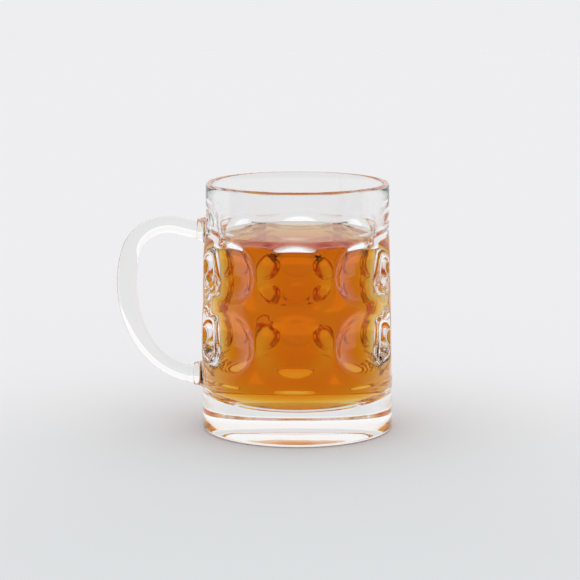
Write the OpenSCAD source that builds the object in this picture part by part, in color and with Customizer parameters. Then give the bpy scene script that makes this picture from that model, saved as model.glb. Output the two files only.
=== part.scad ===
// Dimpled glass beer mug: a heavy glass body with two rows of thumb dimples,
// and a solid glass handle fused on at two pads.
// Origin: centre of the foot, on the surface that the mug stands on. +Z is up.
// The handle points along -X.

/* [Body] */
// Height of the mug, from the table to the lip
mug_h = 114.3; // [108:0.1:130]
// Outer radius of the plain collar
collar_r = 42; // [40:0.1:46]
// Outer radius of the plain foot
foot_r = 44; // [43.5:0.1:47]
// Radius of the round on the foot's lower edge
foot_edge_r = 1.5; // [0.8:0.1:3]
// Height at which the foot ends and the lower belly starts
foot_h = 27.5; // [24:0.5:29.5]
// Thickness of the glass under the drink
base_t = 13.3; // [10:0.1:18]
// Depth of the hollow under the foot
punt_depth = 4; // [2:0.1:5]
// Width of the ring round the hollow, from its edge out to the foot's side
foot_ring_w = 7; // [5:0.5:10]
// Radius of the flat spot in the middle of the hollow
punt_flat_r = 6; // [4:0.5:10]

/* [Bore] */
// Thickness of the glass at the lip
lip_wall = 2.8; // [2:0.1:3.4]
// Thickness of the collar's wall at the neck
neck_wall = 3.8; // [3.2:0.1:4.6]
// How far the bore lies inside the collar's side, beside the upper dimples
upper_wall = 7; // [6.4:0.1:9]
// How far the bore lies inside the foot's side, beside the lower dimples
low_wall = 10.6; // [9.6:0.1:12]
// Radius of the round between the bore and its floor
bore_round_r = 5; // [3:0.5:8]
// Height of the neck, where the bore starts to narrow
neck_z = 97; // [94:0.5:100]
// Height of the bore's bend beside the upper dimples
bend_z = 80; // [76:0.5:84]
// Height at which the bore stops narrowing
narrow_z = 30; // [26:0.5:40]

/* [Dimples] */
// Dimples in one row round the mug
dimple_count = 8; // [8:1:8]
// Height of the centre of the lower row
low_row_z = 45.5; // [44:0.1:47]
// Distance from the lower row up to the upper one
row_pitch = 31; // [30:0.1:32]
// How far the lower belly swells out past the foot, on the ridges between dimples
low_swell = 3.2; // [2.5:0.1:4.5]
// How far the upper belly swells out past the collar
high_swell = 4; // [3.2:0.1:5]
// How far the waist is drawn in from the smaller belly
waist_dip = 0.8; // [0.4:0.1:1.4]
// How far the flat panels stand out past the collar at the top of the upper row
panel_top_out = 0.3; // [0.1:0.1:1]
// How far the flat panels are set back inside the foot at the bottom of the lower row
panel_low_in = 0.5; // [0.1:0.1:1]
// Depth of each dimple below its flat panel
dimple_depth = 4.7; // [3:0.1:5]
// Radius of a dimple's hollow, measured up and down
dimple_up_r = 22; // [20:0.5:25]
// Radius of a dimple's hollow, measured round the mug
dimple_round_r = 31; // [28:0.5:40]

/* [Handle] */
// Thickness of the rod from the upper pad to the shoulder
rod_d = 8.2; // [7:0.1:9]
// Thickness of the rod where the hand grips it
grip_d = 9.4; // [8:0.1:10.4]
// Thickness of the rod at the heel bend
heel_d = 7.9; // [7:0.1:9]
// Thickness of the rod at the lower pad
tail_d = 8.6; // [7:0.1:9]
// Height of the middle of the upper pad
high_pad_z = 91.8; // [90:0.1:96]
// How far each pad stands out from the body
pad_proud = 4; // [3:0.1:6]
// Diameter of a pad at its root, inside the wall that carries it
pad_root_d = 14; // [12:0.1:15]
// Diameter of a pad's flat face
pad_face_d = 10.4; // [9.4:0.1:11]
// How far a pad reaches into the wall that carries it
pad_grip = 2.6; // [2:0.1:2.8]
// Angle at which the rod climbs from the upper pad
rod_climb = 14; // [8:0.5:20]
// Straight length of the rod at the upper pad
rod_lead = 9; // [6:0.5:12]
// Radius of the shoulder bend
shoulder_r = 18.5; // [16:0.5:22]
// Angle of the shoulder bend
shoulder_turn = 89; // [84:0.5:94]
// Radius of the long grip bend
grip_r = 53; // [48:0.5:58]
// Angle of the long grip bend
grip_turn = 46.5; // [42:0.5:50]
// Radius of the heel bend
heel_r = 32.5; // [29:0.5:36]
// Angle of the heel bend
heel_turn = 45; // [42:0.5:48]
// Radius of the last bend into the lower pad
tail_r = 7; // [5:0.5:9]

/* [Hidden] */
$fn = 96;
// Overrun of a cut past the face that it leaves
over = 1;
// Flat facets round the rod
rod_sides = 24;
// Steps along each bend of the rod
bend_steps = 9;

high_row_z = low_row_z + row_pitch;
waist_z = low_row_z + row_pitch / 2;
belly_top_z = waist_z + row_pitch;
lip_r = lip_wall / 2;
column_angle = 360 / dimple_count;
punt_r = foot_r - foot_ring_w;
lip_bore_r = collar_r - lip_wall;
neck_bore_r = collar_r - neck_wall;
upper_bore_r = collar_r - upper_wall;
low_bore_r = foot_r - low_wall;
low_belly_r = foot_r + low_swell;
high_belly_r = collar_r + high_swell;
waist_r = min(low_belly_r, high_belly_r) - waist_dip;
panel_top_r = collar_r + panel_top_out;
panel_low_r = foot_r - panel_low_in;

// Radius of the arc that falls from a belly radius to an end radius over a height
function arc_r(height, fall) = (height * height + fall * fall) / (2 * fall);

// Outline of half a belly: an arc that is upright at the belly's height, and runs a little past its end
module half_belly(belly_r, belly_z, end_r, end_z) {
    round_r = arc_r(abs(end_z - belly_z), belly_r - end_r);
    intersection() {
        translate([belly_r - round_r, belly_z]) circle(round_r, $fn = 720);
        translate([0, min(belly_z, end_z - over)]) square([belly_r + over, abs(end_z - belly_z) + over]);
    }
}

// Outline of the foot, with its lower edge rounded
module foot_outline() {
    square([foot_r - foot_edge_r, foot_h]);
    translate([0, foot_edge_r]) square([foot_r, foot_h - foot_edge_r]);
    translate([foot_r - foot_edge_r, foot_edge_r]) circle(foot_edge_r);
}

// Outline of everything inside the outer surface, up to the lip's round
module outer_outline() {
    foot_outline();
    half_belly(low_belly_r, low_row_z, foot_r, foot_h);
    half_belly(low_belly_r, low_row_z, waist_r, waist_z);
    half_belly(high_belly_r, high_row_z, waist_r, waist_z);
    half_belly(high_belly_r, high_row_z, collar_r, belly_top_z);
    translate([0, belly_top_z - over]) square([collar_r, mug_h - lip_r - belly_top_z + over]);
}

// Outline of the space that holds the drink
module bore_outline() {
    round_z = base_t + bore_round_r;
    translate([0, base_t]) square([low_bore_r - bore_round_r, bore_round_r + over]);
    translate([low_bore_r - bore_round_r, round_z]) circle(bore_round_r);
    polygon([
        [0, round_z], [low_bore_r, round_z], [low_bore_r, narrow_z], [upper_bore_r, bend_z],
        [neck_bore_r, neck_z], [lip_bore_r, mug_h - lip_r],
        [lip_bore_r, mug_h + over], [0, mug_h + over]
    ]);
}

// The round wall before its panels and dimples are pressed in
module turned_wall() {
    rotate_extrude() {
        difference() {
            outer_outline();
            bore_outline();
        }
        translate([collar_r - lip_r, mug_h - lip_r]) circle(lip_r);
    }
}

// The flat panel of one column, from the foot to the collar
module panel_cut() {
    height = belly_top_z - foot_h;
    lean = atan((panel_low_r - panel_top_r) / height);
    translate([panel_low_r, 0, foot_h]) rotate([0, -lean, 0])
        translate([0, -foot_r / 2, 0]) cube([foot_r, foot_r, height]);
}

// Distance from the axis to a column's panel at a given height
function panel_r(z) = panel_low_r + (panel_top_r - panel_low_r) * (z - foot_h) / (belly_top_z - foot_h);

// The barrel that presses one dimple
module dimple_cut(z) {
    translate([panel_r(z) - dimple_depth + dimple_up_r, 0, z]) rotate([90, 0, 0])
        rotate_extrude() intersection() {
            translate([dimple_up_r - dimple_round_r, 0]) circle(dimple_round_r);
            translate([0, -dimple_round_r]) square([dimple_up_r + over, 2 * dimple_round_r]);
        }
}

// One copy of a shape for each column round the mug
module around() {
    for (i = [0:dimple_count - 1]) rotate([0, 0, i * column_angle]) children();
}

// The domed hollow under the foot, flat in the middle
module punt_cut() {
    // Height of the dome's centre, below the table, from the rim and the flat spot that its surface passes
    dome_z = (punt_depth * punt_depth + punt_flat_r * punt_flat_r - punt_r * punt_r) / (2 * punt_depth);
    rotate_extrude() intersection() {
        translate([0, dome_z]) circle(sqrt(punt_r * punt_r + dome_z * dome_z), $fn = 720);
        translate([0, -over]) square([foot_r, punt_depth + over]);
    }
}

// A pad that a handle end is fused to, with its flat face away from the body
module pad(wall_r, z) {
    translate([-wall_r - pad_proud, 0, z]) rotate([0, 90, 0])
        cylinder(h = pad_proud + pad_grip, d1 = pad_face_d, d2 = pad_root_d);
}

// A place on the rod's centre line is [x, z, heading]. This is the place a turn further round a bend
function bend_at(at, r, turn) = let (h = at[2] + turn)
    [at[0] + r * (sin(h) - sin(at[2])), at[1] + r * (cos(at[2]) - cos(h)), h];

// Where each stretch of the rod starts, from the upper pad round to the lower one
rod_start = [-collar_r - pad_proud, high_pad_z, 180 - rod_climb];
shoulder_at = [
    rod_start[0] + rod_lead * cos(rod_start[2]),
    rod_start[1] + rod_lead * sin(rod_start[2]),
    rod_start[2]
];
grip_at = bend_at(shoulder_at, shoulder_r, shoulder_turn);
heel_at = bend_at(grip_at, grip_r, grip_turn);
tail_at = bend_at(heel_at, heel_r, heel_turn);
tail_turn = 360 - tail_at[2];
tail_end = bend_at(tail_at, tail_r, tail_turn);
low_pad_z = tail_end[1];
rod_stop = [-foot_r - pad_proud, low_pad_z, tail_end[2]];

// The rod's four bends in order: [place where it starts, radius, angle]
bends = [
    [shoulder_at, shoulder_r, shoulder_turn],
    [grip_at, grip_r, grip_turn],
    [heel_at, heel_r, heel_turn],
    [tail_at, tail_r, tail_turn]
];

// Thickness of the rod where it is n bends along: 0 at the shoulder's start, 4 at the tail's end
function rod_thickness(n) = lookup(n, [[0.5, rod_d], [1.5, grip_d], [2.5, heel_d], [4, tail_d]]);

// Every place along the rod, with its thickness added: [x, z, heading, thickness]
rod_line = concat(
    [concat(rod_start, rod_d)],
    [for (b = [0:len(bends) - 1], i = [0:bend_steps - 1]) let (share = i / bend_steps)
        concat(bend_at(bends[b][0], bends[b][1], bends[b][2] * share), rod_thickness(b + share))],
    [concat(rod_stop, tail_d)]
);

// One point of a ring round the rod. The two end rings stand upright, on the pads' faces
function ring_point(i, j) = let (
    at = rod_line[i],
    angle = 360 * j / rod_sides,
    across = at[3] / 2 * sin(angle),
    out = at[3] / 2 * cos(angle),
    upright = i == 0 || i == len(rod_line) - 1
) upright ? [at[0], across, at[1] - out / cos(at[2])]
    : [at[0] + out * sin(at[2]), across, at[1] - out * cos(at[2])];

module glass_body() color([0.80, 0.88, 0.92, 0.55]) {
    difference() {
        turned_wall();
        around() panel_cut();
        around() dimple_cut(low_row_z);
        around() dimple_cut(high_row_z);
        punt_cut();
    }
    pad(collar_r, high_pad_z);
    pad(foot_r, low_pad_z);
}

module handle() color([0.70, 0.82, 0.90, 0.7]) {
    last = len(rod_line) - 1;
    polyhedron(
        points = [for (i = [0:last], j = [0:rod_sides - 1]) ring_point(i, j)],
        faces = concat(
            [[for (j = [0:rod_sides - 1]) j]],
            [for (i = [0:last - 1], j = [0:rod_sides - 1]) let (k = (j + 1) % rod_sides)
                [i * rod_sides + j, (i + 1) * rod_sides + j, (i + 1) * rod_sides + k, i * rod_sides + k]],
            [[for (j = [rod_sides - 1:-1:0]) last * rod_sides + j]]
        )
    );
}

glass_body();
handle();
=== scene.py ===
# A dimpled glass beer mug with a drink in it: the heavy pressed glass body, the solid glass
# handle fused to its two pads, and the amber drink, standing on a pale table. The mug stands at
# the origin with +Z up and its handle along -X. It is measured in mm, and MM makes them metres.
import functools
import math

import bmesh
import bpy
from mathutils import Matrix, Vector


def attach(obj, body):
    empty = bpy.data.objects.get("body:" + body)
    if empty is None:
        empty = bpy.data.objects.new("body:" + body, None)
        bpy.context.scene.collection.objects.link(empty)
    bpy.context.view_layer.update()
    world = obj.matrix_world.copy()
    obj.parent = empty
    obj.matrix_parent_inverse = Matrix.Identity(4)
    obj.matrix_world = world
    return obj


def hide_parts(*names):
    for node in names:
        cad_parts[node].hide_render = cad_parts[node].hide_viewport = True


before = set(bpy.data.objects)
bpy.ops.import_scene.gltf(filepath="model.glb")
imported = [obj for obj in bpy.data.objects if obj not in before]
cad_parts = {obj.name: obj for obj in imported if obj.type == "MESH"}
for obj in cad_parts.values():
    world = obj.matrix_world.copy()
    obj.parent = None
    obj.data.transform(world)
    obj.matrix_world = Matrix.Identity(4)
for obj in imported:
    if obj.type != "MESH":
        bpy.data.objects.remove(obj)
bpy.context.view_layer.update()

# ---------------------------------------------------------------------------------------------
# The glass body. One piece of clear soda-lime glass, pressed in a mould that leaves two rows of
# eight thumb dimples, with a thick foot hollowed underneath. The lip and every crease were
# softened in the fire, and two pads of glass stand out at the back for the handle.

MM = 0.001
MUG_H, COLLAR_R, FOOT_R = 114.3, 42.0, 44.0
FOOT_EDGE_R, FOOT_H, FLOOR_Z = 1.5, 27.5, 13.3
HOLLOW_R, HOLLOW_DEPTH = 37.0, 4.0
STANDING_RING = (37.1, 39.0, 41.0)
LIP_R, LIP_LEAD = 1.4, 1.5
BORE_LINE = ((13.3, 34.8), (30.0, 35.4), (75.0, 35.4), (97.0, 38.2), (112.9, 39.2))
BORE_EASE, EASE_STEPS, BORE_ROUND = 6.0, 3, 10.0
COLUMNS, ROWS_Z = 8, (45.5, 77.3)
WAIST_Z, BELLY_TOP_Z = 61.0, 92.0
LOW_BELLY_R, HIGH_BELLY_R, WAIST_R = 47.2, 46.0, 45.2
PANEL_LOW_R, PANEL_TOP_R = 43.5, 42.3
DIMPLE_DEPTH, DIMPLE_UP_R, DIMPLE_ROUND_R = 4.7, 21.5, 34.0
CREASE, PRESS_MARGIN, CUT_ROUNDS = 1.2, 2.0, 8
OUTER_WALL_R, WETTED_R = 41.0, 40.0
DRINK_LEVEL, LEVEL_DROP = 87.5, 1.8
AROUND, MERGED, HAIR = 432, 0.0005, 0.1


def arc_belly(z, belly_r, belly_z, end_r, end_z):
    """Radius at z of an arc that is upright at the belly and falls to an end radius."""
    height, fall = abs(end_z - belly_z), belly_r - end_r
    bend = (height * height + fall * fall) / (2 * fall)
    return belly_r - bend + math.sqrt(max(bend * bend - (z - belly_z) ** 2, 0))


def turned_radius(z):
    """The round wall before anything is pressed into it."""
    if z < FOOT_H or z > BELLY_TOP_Z:
        return FOOT_R if z < FOOT_H else COLLAR_R
    if z < ROWS_Z[0]:
        return arc_belly(z, LOW_BELLY_R, ROWS_Z[0], FOOT_R, FOOT_H)
    if z < WAIST_Z:
        return arc_belly(z, LOW_BELLY_R, ROWS_Z[0], WAIST_R, WAIST_Z)
    if z < ROWS_Z[1]:
        return arc_belly(z, HIGH_BELLY_R, ROWS_Z[1], WAIST_R, WAIST_Z)
    return arc_belly(z, HIGH_BELLY_R, ROWS_Z[1], COLLAR_R, BELLY_TOP_Z)


def soft_least(a, b, soft):
    """The smaller of two radii, with the crease between them softened."""
    share = min(max(0.5 + 0.5 * (b - a) / soft, 0), 1)
    return b * (1 - share) + a * share - soft * share * (1 - share)


def panel_distance(z):
    """How far the flat panel of a column stands from the mug's axis."""
    return PANEL_LOW_R + (PANEL_TOP_R - PANEL_LOW_R) * (z - FOOT_H) / (BELLY_TOP_Z - FOOT_H)


@functools.lru_cache(maxsize=None)
def pressed_radius(place, z):
    """The outer wall's radius, pressed in by the flat panel and the dimples of its column."""
    radius = turned_radius(z)
    if not FOOT_H - PRESS_MARGIN < z < BELLY_TOP_Z + PRESS_MARGIN:
        return radius
    off = 2 * math.pi * place / AROUND
    radius = soft_least(radius, panel_distance(z) / math.cos(off), CREASE)
    for row_z in ROWS_Z:
        axis = panel_distance(row_z) - DIMPLE_DEPTH + DIMPLE_UP_R
        cut = axis
        for _ in range(CUT_ROUNDS):
            across = cut * math.tan(off)
            barrel = DIMPLE_UP_R - DIMPLE_ROUND_R + math.sqrt(DIMPLE_ROUND_R ** 2 - across ** 2)
            cut = axis - math.sqrt(max(barrel ** 2 - (z - row_z) ** 2, 0))
        radius = soft_least(radius, cut / math.cos(off), CREASE)
    return radius


def bore_radius(z):
    """The radius of the bore, eased over its slight bends."""
    total = 0
    for i in range(-EASE_STEPS, EASE_STEPS + 1):
        at = min(max(z + i * BORE_EASE / EASE_STEPS, BORE_LINE[0][0]), BORE_LINE[-1][0])
        for (low_z, low_r), (high_z, high_r) in zip(BORE_LINE, BORE_LINE[1:]):
            if at <= high_z:
                break
        total += low_r + (high_r - low_r) * (at - low_z) / (high_z - low_z)
    return total / (2 * EASE_STEPS + 1)


def column_place(place):
    """A place round the mug, in steps of its mesh, as the distance from its column's middle."""
    across = AROUND // COLUMNS
    return abs((place + across // 2) % across - across // 2)


def steps(first, last, count):
    """So many even steps from first to last, both ends included."""
    return [first + (last - first) * i / count for i in range(count + 1)]


def bore_under_drink(gap):
    """The bore from just under the drink's level to the middle of its floor, a gap inside."""
    floor_r = bore_radius(FLOOR_Z + BORE_ROUND) - BORE_ROUND
    side = [(bore_radius(z) - gap, z)
            for z in steps(DRINK_LEVEL - LEVEL_DROP, FLOOR_Z + BORE_ROUND, 30)]
    corner = [(floor_r - gap + BORE_ROUND * math.cos(t),
               FLOOR_Z + gap + BORE_ROUND * (1 - math.sin(t)))
              for t in steps(math.pi / 16, math.pi / 2, 7)]
    flat = [(r, FLOOR_Z + gap) for r in steps(floor_r - 2.5, 2.0, 8)]
    return side + corner + flat + [(0, FLOOR_Z + gap)]


def turn(bm, profile, around):
    """Turns a profile of (radius, height) in mm, both ends on the axis, into a closed shell.
    An eighth is spun, and then doubled three times."""
    ring = [bm.verts.new((r * MM, 0, z * MM)) for r, z in profile]
    edges = [bm.edges.new(pair) for pair in zip(ring, ring[1:])]
    bmesh.ops.spin(bm, geom=ring + edges, cent=(0, 0, 0), axis=(0, 0, 1), dvec=(0, 0, 0),
                   angle=math.pi / 4, steps=around // 8, use_merge=False, use_duplicate=False)
    for part in (math.pi / 4, math.pi / 2, math.pi):
        made = bmesh.ops.duplicate(bm, geom=bm.verts[:] + bm.edges[:] + bm.faces[:])["geom"]
        copied = [v for v in made if isinstance(v, bmesh.types.BMVert)]
        bmesh.ops.rotate(bm, verts=copied, cent=(0, 0, 0), matrix=Matrix.Rotation(part, 3, "Z"))
    bmesh.ops.remove_doubles(bm, verts=bm.verts, dist=MERGED * MM)
    bmesh.ops.recalc_face_normals(bm, faces=bm.faces)


def press(bm):
    """Moves the points of the turned outer wall in to the panels and the dimples."""
    for vert in bm.verts:
        x, y, z = vert.co / MM
        reach = math.hypot(x, y)
        if FOOT_H - PRESS_MARGIN < z < BELLY_TOP_Z + PRESS_MARGIN and reach > OUTER_WALL_R:
            place = column_place(round(math.atan2(y, x) / (2 * math.pi) * AROUND))
            scale = pressed_radius(place, round(z, 4)) / reach
            vert.co.x, vert.co.y = vert.co.x * scale, vert.co.y * scale


def finished(bm, name, materials):
    """Puts a mesh in the scene as a smooth piece that rides with the mug."""
    mesh = bpy.data.meshes.new(name)
    for face in bm.faces:
        face.smooth = True
    bm.to_mesh(mesh)
    bm.free()
    for material in materials:
        mesh.materials.append(material)
    piece = bpy.data.objects.new(name, mesh)
    bpy.context.scene.collection.objects.link(piece)
    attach(piece, "root")
    return piece


# The profile goes from the middle of the hollow out round the foot, up the wall, over the lip
# and down the bore to the middle of its floor.
hollow_round = (HOLLOW_R ** 2 + HOLLOW_DEPTH ** 2) / (2 * HOLLOW_DEPTH)
lip_z = MUG_H - LIP_R
profile = [(0, HOLLOW_DEPTH)]
profile += [(r, HOLLOW_DEPTH - hollow_round + math.sqrt(hollow_round ** 2 - r * r))
            for r in steps(1.5, HOLLOW_R - 0.4, 18)]
profile += [(r, 0.0) for r in STANDING_RING]
profile += [(FOOT_R - FOOT_EDGE_R + FOOT_EDGE_R * math.sin(t), FOOT_EDGE_R * (1 - math.cos(t)))
            for t in steps(0, math.pi / 2, 6)]
profile += [(FOOT_R, z) for z in steps(4, 22, 6)]
profile += [(turned_radius(z), z) for z in steps(23.5, 95.5, 104)]
profile += [(COLLAR_R, z) for z in steps(97, lip_z - LIP_LEAD, 6)]
profile += [(COLLAR_R - LIP_R + LIP_R * math.cos(t), lip_z + LIP_R * math.sin(t))
            for t in steps(0, math.pi, 12)]
profile += [(bore_radius(z), z) for z in steps(lip_z - LIP_LEAD, DRINK_LEVEL, 12)]
profile += bore_under_drink(0)

# The drink wets the bore below its level, and the faces there get the wetted glass.
bm = bmesh.new()
turn(bm, profile, AROUND)
for face in bm.faces:
    at = face.calc_center_median() / MM
    if FLOOR_Z - HAIR < at.z < DRINK_LEVEL and math.hypot(at.x, at.y) < WETTED_R:
        face.material_index = 1
press(bm)

# Each pad: a square window of the wall is taken out, and its edge is drawn out into a round pad
# with a flare at its root. A pad is given by its height and by the wall's radius there, and the
# flare by its radius and by how proud of the wall it is.
PADS = ((91.8, 42.0), (24.591, 44.0))
PAD_WINDOW, WINDOW_BACK, WINDOW_IN = 6.9, 4.0, 3.4
PAD_FLARE = ((6.6, 0.0), (6.1, 0.5), (5.75, 1.2), (5.5, 2.2), (5.35, 3.2), (5.2, 3.9), (5.0, 4.0))
PAD_PROUD = PAD_FLARE[-1][1]
for pad_z, wall_r in PADS:
    patch = []
    for face in bm.faces:
        at = face.calc_center_median() / MM
        in_window = abs(at.y) < PAD_WINDOW and abs(at.z - pad_z) < PAD_WINDOW
        if in_window and at.x < WINDOW_BACK - wall_r and math.hypot(at.x, at.y) > wall_r - WINDOW_IN:
            patch.append(face)
    cut_out = set(patch)
    border = [e for e in {e for f in patch for e in f.edges}
              if sum(f in cut_out for f in e.link_faces) == 1]
    bmesh.ops.delete(bm, geom=patch, context="FACES")
    rim = [e for e in border if e.is_valid]
    for radius, proud in PAD_FLARE:
        drawn = bmesh.ops.extrude_edge_only(bm, edges=rim)["geom"]
        rim = [e for e in drawn if isinstance(e, bmesh.types.BMEdge) and e.is_boundary]
        share = proud / PAD_PROUD
        for vert in {v for e in rim for v in e.verts}:
            dy, dz = vert.co.y / MM, vert.co.z / MM - pad_z
            size = math.hypot(dy, dz)
            dy, dz = dy * radius / size, dz * radius / size
            wall_x = -math.sqrt(wall_r ** 2 - dy ** 2)
            x = (-wall_r - proud) * share + (wall_x - proud) * (1 - share)
            vert.co = Vector((x, dy, pad_z + dz)) * MM
    bmesh.ops.holes_fill(bm, edges=rim, sides=0)
bmesh.ops.recalc_face_normals(bm, faces=bm.faces)

RIPPLE_SIZE, RIPPLE_DETAIL, SEED_SIZE = 70, 1.5, 420


def fire_ripple():
    """Shader group for fire-polished glass: slow ripples, and a faint uneven haze from use."""
    group = bpy.data.node_groups.new("fire_ripple", "ShaderNodeTree")
    for name, kind, way in (("Ripple Size", "NodeSocketFloat", "INPUT"),
                            ("Ripple Depth", "NodeSocketFloat", "INPUT"),
                            ("Haze", "NodeSocketFloat", "INPUT"),
                            ("Roughness", "NodeSocketFloat", "OUTPUT"),
                            ("Normal", "NodeSocketVector", "OUTPUT")):
        group.interface.new_socket(name=name, in_out=way, socket_type=kind)
    nodes, link = group.nodes, group.links.new
    given, put = nodes.new("NodeGroupInput"), nodes.new("NodeGroupOutput")
    place = nodes.new("ShaderNodeTexCoord")
    slow, fine = nodes.new("ShaderNodeTexNoise"), nodes.new("ShaderNodeTexNoise")
    slow.inputs["Detail"].default_value = RIPPLE_DETAIL
    fine.inputs["Scale"].default_value = SEED_SIZE
    link(place.outputs["Object"], slow.inputs["Vector"])
    link(place.outputs["Object"], fine.inputs["Vector"])
    link(given.outputs["Ripple Size"], slow.inputs["Scale"])
    bump = nodes.new("ShaderNodeBump")
    bump.inputs["Strength"].default_value = 1.0
    link(given.outputs["Ripple Depth"], bump.inputs["Distance"])
    link(slow.outputs["Fac"], bump.inputs["Height"])
    haze = nodes.new("ShaderNodeMath")
    haze.operation = "MULTIPLY"
    link(fine.outputs["Fac"], haze.inputs[0])
    link(given.outputs["Haze"], haze.inputs[1])
    link(haze.outputs["Value"], put.inputs["Roughness"])
    link(bump.outputs["Normal"], put.inputs["Normal"])
    return group


ripple = fire_ripple()


def clear_glass(name, ior, ripple_depth, haze):
    """Clear soda-lime glass, against air or against whatever its index is given for."""
    material = bpy.data.materials.new(name)
    material.use_nodes = True
    nodes, link = material.node_tree.nodes, material.node_tree.links.new
    shader = nodes["Principled BSDF"]
    shader.inputs["Base Color"].default_value = (1, 1, 1, 1)
    shader.inputs["Transmission Weight"].default_value = 1
    shader.inputs["IOR"].default_value = ior
    surface = nodes.new("ShaderNodeGroup")
    surface.node_tree = ripple
    surface.inputs["Ripple Size"].default_value = RIPPLE_SIZE
    surface.inputs["Ripple Depth"].default_value = ripple_depth
    surface.inputs["Haze"].default_value = haze
    link(surface.outputs["Roughness"], shader.inputs["Roughness"])
    link(surface.outputs["Normal"], shader.inputs["Normal"])
    return material


GLASS_IOR, DRINK_IOR = 1.52, 1.34
BODY_RIPPLE, BODY_HAZE = 0.00006, 0.02
dry_glass = clear_glass("clear_glass", GLASS_IOR, BODY_RIPPLE, BODY_HAZE)
wetted_glass = clear_glass("wetted_glass", GLASS_IOR / DRINK_IOR, BODY_RIPPLE, 0.0)
mug = finished(bm, "glass_mug", [dry_glass, wetted_glass])
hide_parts("glass_body")

# ---------------------------------------------------------------------------------------------
# The handle. A solid rod gathered from the same glass, bent into a C while hot and fused to the
# two pads. It is thickest in the grip and thinnest at the heel, where it was pulled. Each bend
# has a radius, an angle and its steps, and each mark a place along the bends and a thickness.

BENDS = ((18.5, 89.0, 24), (53.0, 46.5, 24), (32.5, 45.0, 24), (7.0, 13.5, 6))
ROD_MARKS = ((0.5, 8.2), (1.5, 9.25), (2.5, 7.9), (4.0, 8.6))
ROD_SIDES, ROD_CLIMB, ROD_LEAD = 48, 14.0, 9.0
FUSED = 0.02
ROD_RIPPLE, ROD_HAZE = 0.00005, 0.03


def rod_radius(along):
    """Radius of the rod where it is so many bends along."""
    along = min(max(along, ROD_MARKS[0][0]), ROD_MARKS[-1][0])
    for (low, thin), (high, thick) in zip(ROD_MARKS, ROD_MARKS[1:]):
        if along <= high:
            break
    share = (1 - math.cos((along - low) / (high - low) * math.pi)) / 2
    return (thin + (thick - thin) * share) / 2


def drawn_on(bm, ring):
    """One more length of rod: a new ring, still lying on the last one."""
    edges = {e for v in ring for e in v.link_edges if e.other_vert(v) in ring}
    made = bmesh.ops.extrude_edge_only(bm, edges=list(edges))["geom"]
    return {v for v in made if isinstance(v, bmesh.types.BMVert)}


def slid_to(ring, heading, stop_x):
    """Slides each point of a ring along the rod until it meets an upright face."""
    for vert in ring:
        run = (stop_x * MM - vert.co.x) / math.cos(heading)
        vert.co += Vector((math.cos(heading), 0, math.sin(heading))) * run


def capped(bm, ring):
    """Closes an end ring with a flat face and keeps its edge sharp."""
    edges = [e for e in {e for v in ring for e in v.link_edges} if e.is_boundary]
    bmesh.ops.holes_fill(bm, edges=edges, sides=0)
    for edge in edges:
        edge.smooth = False


# The rod starts a little way out from the upper pad. Its first ring is slid back on to the pad,
# and the rod is then drawn on from it, bend by bend, to the lower pad.
bm = bmesh.new()
heading = math.radians(180 - ROD_CLIMB)
start_x, start_z = -COLLAR_R - PAD_PROUD, PADS[0][0]
here = Vector((start_x + ROD_LEAD * math.cos(heading), 0,
               start_z + ROD_LEAD * math.sin(heading))) * MM
circle = bmesh.ops.create_circle(bm, segments=ROD_SIDES, radius=rod_radius(0) * MM)
ring = set(circle["verts"])
bmesh.ops.rotate(bm, verts=list(ring), matrix=Matrix.Rotation(math.pi / 2 - heading, 3, "Y"))
bmesh.ops.translate(bm, verts=list(ring), vec=here)
end_ring = drawn_on(bm, ring)
slid_to(end_ring, heading, start_x + FUSED)
capped(bm, end_ring)
for bend, (bend_r, bend_deg, bend_steps) in enumerate(BENDS):
    centre = here + Vector((-math.sin(heading), 0, math.cos(heading))) * bend_r * MM
    swing = Matrix.Rotation(-math.radians(bend_deg) / bend_steps, 3, "Y")
    for step in range(bend_steps):
        ring = drawn_on(bm, ring)
        bmesh.ops.rotate(bm, verts=list(ring), cent=centre, matrix=swing)
        here = centre + swing @ (here - centre)
        grow = rod_radius(bend + (step + 1) / bend_steps) / rod_radius(bend + step / bend_steps)
        bmesh.ops.scale(bm, verts=list(ring), vec=(grow,) * 3, space=Matrix.Translation(-here))
    heading += math.radians(bend_deg)
ring = drawn_on(bm, ring)
slid_to(ring, heading, -FOOT_R - PAD_PROUD - FUSED)
capped(bm, ring)
bmesh.ops.recalc_face_normals(bm, faces=bm.faces)
handle_glass = clear_glass("handle_glass", GLASS_IOR, ROD_RIPPLE, ROD_HAZE)
handle = finished(bm, "glass_handle", [handle_glass])
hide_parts("handle")

# ---------------------------------------------------------------------------------------------
# The drink. A clear amber drink that fills the bore to just under the collar and climbs the
# glass a little at its edge. Its sides add no bend of light of their own: the wetted glass has it.

DRINK_COLOUR, DRINK_DENSITY = (0.976, 0.752, 0.01, 1), 95
DRINK_GAP, CLIMB, CLIMB_FROM = 0.02, 0.6, 0.94
NO_BEND = 1.0


def amber_drink():
    """The drink's body: it bends no light, and soaks up what passes through it."""
    material = bpy.data.materials.new("amber_drink")
    material.use_nodes = True
    nodes, link = material.node_tree.nodes, material.node_tree.links.new
    shader = nodes["Principled BSDF"]
    shader.inputs["Transmission Weight"].default_value = 1
    shader.inputs["IOR"].default_value = NO_BEND
    shader.inputs["Roughness"].default_value = 0.0
    body = nodes.new("ShaderNodeVolumeAbsorption")
    body.inputs["Color"].default_value = DRINK_COLOUR
    body.inputs["Density"].default_value = DRINK_DENSITY
    link(body.outputs["Volume"], nodes["Material Output"].inputs["Volume"])
    return material


def climb(share):
    """Height to which the drink's edge climbs the glass, at a share of the bore's radius."""
    return CLIMB * max((share - CLIMB_FROM) / (1 - CLIMB_FROM), 0) ** 3


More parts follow.
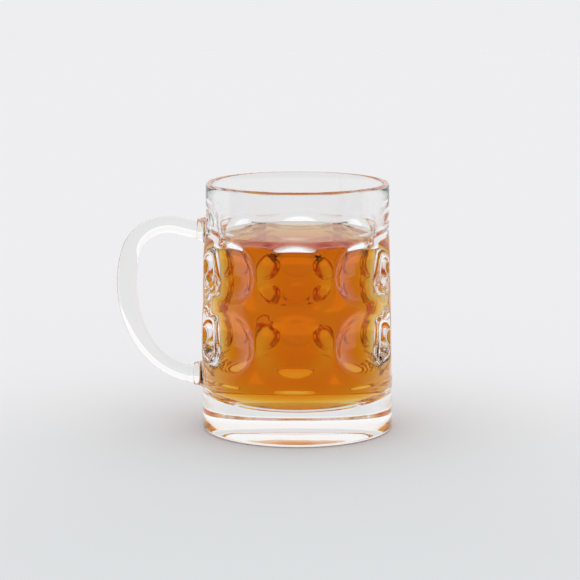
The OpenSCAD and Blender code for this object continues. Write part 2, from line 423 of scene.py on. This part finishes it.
level_r = bore_radius(DRINK_LEVEL)
shares = steps(0, CLIMB_FROM, 8) + steps(CLIMB_FROM + 0.01, 1, 6)
profile = [((level_r - DRINK_GAP) * share, DRINK_LEVEL + climb(share)) for share in shares]
bm = bmesh.new()
turn(bm, profile + bore_under_drink(DRINK_GAP), AROUND)
finished(bm, "drink", [amber_drink()])

# The drink's surface: a thin skin on the drink, whose upper face bends the light.
SKIN_Z, SKIN_THICK, SKIN_RIPPLE = 0.03, 0.01, 0.00001
bm = bmesh.new()
top = [(level_r * share, DRINK_LEVEL + SKIN_Z + climb(share)) for share in shares]
under = [(r, z - SKIN_THICK) for r, z in reversed(top)]
turn(bm, top + under, AROUND)
for face in bm.faces:
    face.material_index = 0 if face.normal.z > 0 else 1
for edge in bm.edges:
    if len({face.material_index for face in edge.link_faces}) > 1:
        edge.smooth = False
drink_surface = clear_glass("drink_surface", DRINK_IOR, SKIN_RIPPLE, 0.0)
drink_underside = clear_glass("drink_underside", NO_BEND, 0.0, 0.0)
finished(bm, "drink_surface", [drink_surface, drink_underside])

# ---------------------------------------------------------------------------------------------
# The studio floor: a matt, pale, wide sheet under the mug, with a pool of painted shade that
# makes it a little greyer in front of it. It keeps its plain colour, painted shade and all, when
# seen through glass. The camera's side is dim in mirror reflections alone, as a dark room in
# front of the mug, so that the glass keeps its depth.

FLOOR_PALE, FLOOR_DARK = (0.835, 0.835, 0.84, 1), (0.05, 0.05, 0.055, 1)
# The near colour is painted shade: a greyer pool on the floor round a point in front of the mug.
FLOOR_NEAR_SHADE, FLOOR_NEAR_AT = (0.715, 0.738, 0.738, 1), (0, -0.2, 0)
FLOOR_NEAR_END, FLOOR_FAR_START = 0.05, 0.36
FLOOR_FRONT_START, FLOOR_FRONT_END = 0.0, -0.04
THROUGH_GLASS, FLOOR_ROUGHNESS = 0.98, 0.6
FLOOR_REACH, FLOOR_DROP = 3, 0.0002


def ramp(tree, source, start, end):
    """A node that goes from 0 to 1 while its source goes from start to end."""
    node = tree.nodes.new("ShaderNodeMapRange")
    node.inputs["From Min"].default_value, node.inputs["From Max"].default_value = start, end
    tree.links.new(source, node.inputs["Value"])
    return node


def math_of(tree, operation, first, second):
    """The clamped result of a sum on two other nodes' outputs."""
    node = tree.nodes.new("ShaderNodeMath")
    node.operation, node.use_clamp = operation, True
    tree.links.new(first, node.inputs[0])
    tree.links.new(second, node.inputs[1])
    return node.outputs["Value"]


def mirror_only(tree, rays, share):
    """A share that counts for pure mirror rays, and not for rays that went through glass."""
    straight = math_of(tree, "SUBTRACT", rays.outputs["Is Glossy Ray"],
                       rays.outputs["Is Transmission Ray"])
    return math_of(tree, "MULTIPLY", share, straight)


def mixed(tree, share, first, second):
    """Two colours mixed by a share. Each is a colour, or another node's output."""
    node = tree.nodes.new("ShaderNodeMix")
    node.data_type = "RGBA"
    for socket, colour in (("A", first), ("B", second)):
        if isinstance(colour, tuple):
            node.inputs[socket].default_value = colour
        else:
            tree.links.new(colour, node.inputs[socket])
    tree.links.new(share, node.inputs["Factor"])
    return node.outputs["Result"]


def studio_floor():
    material = bpy.data.materials.new("studio_floor")
    material.use_nodes = True
    tree = material.node_tree
    nodes, link = tree.nodes, tree.links.new
    shader = nodes["Principled BSDF"]
    shader.inputs["Roughness"].default_value = FLOOR_ROUGHNESS
    shader.inputs["Specular IOR Level"].default_value = 0.0
    place, rays = nodes.new("ShaderNodeTexCoord"), nodes.new("ShaderNodeLightPath")
    away = nodes.new("ShaderNodeVectorMath")
    away.operation = "DISTANCE"
    away.inputs[1].default_value = FLOOR_NEAR_AT
    link(place.outputs["Object"], away.inputs[0])
    far = ramp(tree, away.outputs["Value"], FLOOR_NEAR_END, FLOOR_FAR_START)
    far.interpolation_type = "SMOOTHSTEP"
    # The floor's colour: painted shade near the point in front, fading out to the pale sheet further
    # off.
    shade = mixed(tree, far.outputs["Result"], FLOOR_NEAR_SHADE, FLOOR_PALE)
    split = nodes.new("ShaderNodeSeparateXYZ")
    link(place.outputs["Object"], split.inputs["Vector"])
    front = ramp(tree, split.outputs["Y"], FLOOR_FRONT_START, FLOOR_FRONT_END)
    dim = mirror_only(tree, rays, front.outputs["Result"])
    link(mixed(tree, dim, shade, FLOOR_DARK), shader.inputs["Base Color"])
    plain, seen = nodes.new("ShaderNodeEmission"), nodes.new("ShaderNodeMixShader")
    plain.inputs["Strength"].default_value = THROUGH_GLASS
    link(shade, plain.inputs["Color"])
    link(rays.outputs["Is Transmission Ray"], seen.inputs["Fac"])
    link(shader.outputs["BSDF"], seen.inputs[1])
    link(plain.outputs["Emission"], seen.inputs[2])
    link(seen.outputs["Shader"], nodes["Material Output"].inputs["Surface"])
    return material


bm = bmesh.new()
bmesh.ops.create_grid(bm, x_segments=1, y_segments=1, size=FLOOR_REACH)
floor_mesh = bpy.data.meshes.new("studio_floor")
bm.to_mesh(floor_mesh)
bm.free()
floor_mesh.materials.append(studio_floor())
table = bpy.data.objects.new("studio_floor", floor_mesh)
bpy.context.scene.collection.objects.link(table)
table.location.z = -FLOOR_DROP

# ---------------------------------------------------------------------------------------------
# The studio light: an even pale room all round, with a soft wide panel low down behind the mug.
# SEEN brings what the camera sees of it down to the floor's level, so that no horizon shows.

PALE, DARK_ROOM, SEEN = (1.03, 1.03, 1.045, 1), (0.04, 0.04, 0.045, 1), 0.828
ROOM_FRONT_START, ROOM_FRONT_END = 0.6, 0.1
PANEL_LIGHT = (0.98, 0.97, 0.96, 1)
PANEL_FOOT, PANEL_HEAD, PANEL_BACK = (0.04, 0.1), (0.6, 0.45), (0.4, 0.75)

world = bpy.data.worlds.new("studio")
world.use_nodes = True
tree = world.node_tree
nodes, link = tree.nodes, tree.links.new
toward, rays = nodes.new("ShaderNodeTexCoord"), nodes.new("ShaderNodeLightPath")
split = nodes.new("ShaderNodeSeparateXYZ")
link(toward.outputs["Generated"], split.inputs["Vector"])
front = ramp(tree, split.outputs["Y"], ROOM_FRONT_START, ROOM_FRONT_END)
room = mixed(tree, mirror_only(tree, rays, front.outputs["Result"]), PALE, DARK_ROOM)
foot, head = (ramp(tree, split.outputs["Z"], *edge) for edge in (PANEL_FOOT, PANEL_HEAD))
back = ramp(tree, split.outputs["Y"], *PANEL_BACK)
panel = math_of(tree, "MULTIPLY", foot.outputs["Result"], head.outputs["Result"])
panel = math_of(tree, "MULTIPLY", panel, back.outputs["Result"])
link(mixed(tree, panel, room, PANEL_LIGHT), nodes["Background"].inputs["Color"])
level = ramp(tree, rays.outputs["Is Camera Ray"], 0, 1)
level.inputs["To Min"].default_value, level.inputs["To Max"].default_value = 1.0, SEEN
link(level.outputs["Result"], nodes["Background"].inputs["Strength"])
bpy.context.scene.world = world

# ---------------------------------------------------------------------------------------------
# The camera, where the photograph's camera was, and what the render needs for thick glass:
# many bounces, but few inside reflections, so that the glass keeps its dark edges.

FRAME_W, FOCAL_PX, SHIFT_PX, SENSOR_W = 580, 2158, -7.5, 36
CAMERA_BACK, CAMERA_UP, CAMERA_PITCH, CAMERA_SWING = 0.981, 0.231, 9.66, 1.65
ALL_BOUNCES, MIRROR_BOUNCES, CLEAR_BOUNCES = 64, 10, 32

camera_data = bpy.data.cameras.new("camera")
camera = bpy.data.objects.new("camera", camera_data)
bpy.context.scene.collection.objects.link(camera)
swing = math.radians(CAMERA_SWING)
camera.location = (CAMERA_BACK * math.sin(swing), -CAMERA_BACK * math.cos(swing), CAMERA_UP)
camera.rotation_euler = (math.pi / 2 - math.radians(CAMERA_PITCH), 0, swing)
camera_data.sensor_width = SENSOR_W
camera_data.lens = FOCAL_PX / FRAME_W * SENSOR_W
camera_data.shift_x = SHIFT_PX / FRAME_W
camera_data.clip_start = 0.01
scene = bpy.context.scene
scene.camera = camera
scene.view_settings.view_transform = "Standard"
scene.cycles.max_bounces = ALL_BOUNCES
scene.cycles.transmission_bounces = ALL_BOUNCES
scene.cycles.glossy_bounces = MIRROR_BOUNCES
scene.cycles.transparent_max_bounces = CLEAR_BOUNCES
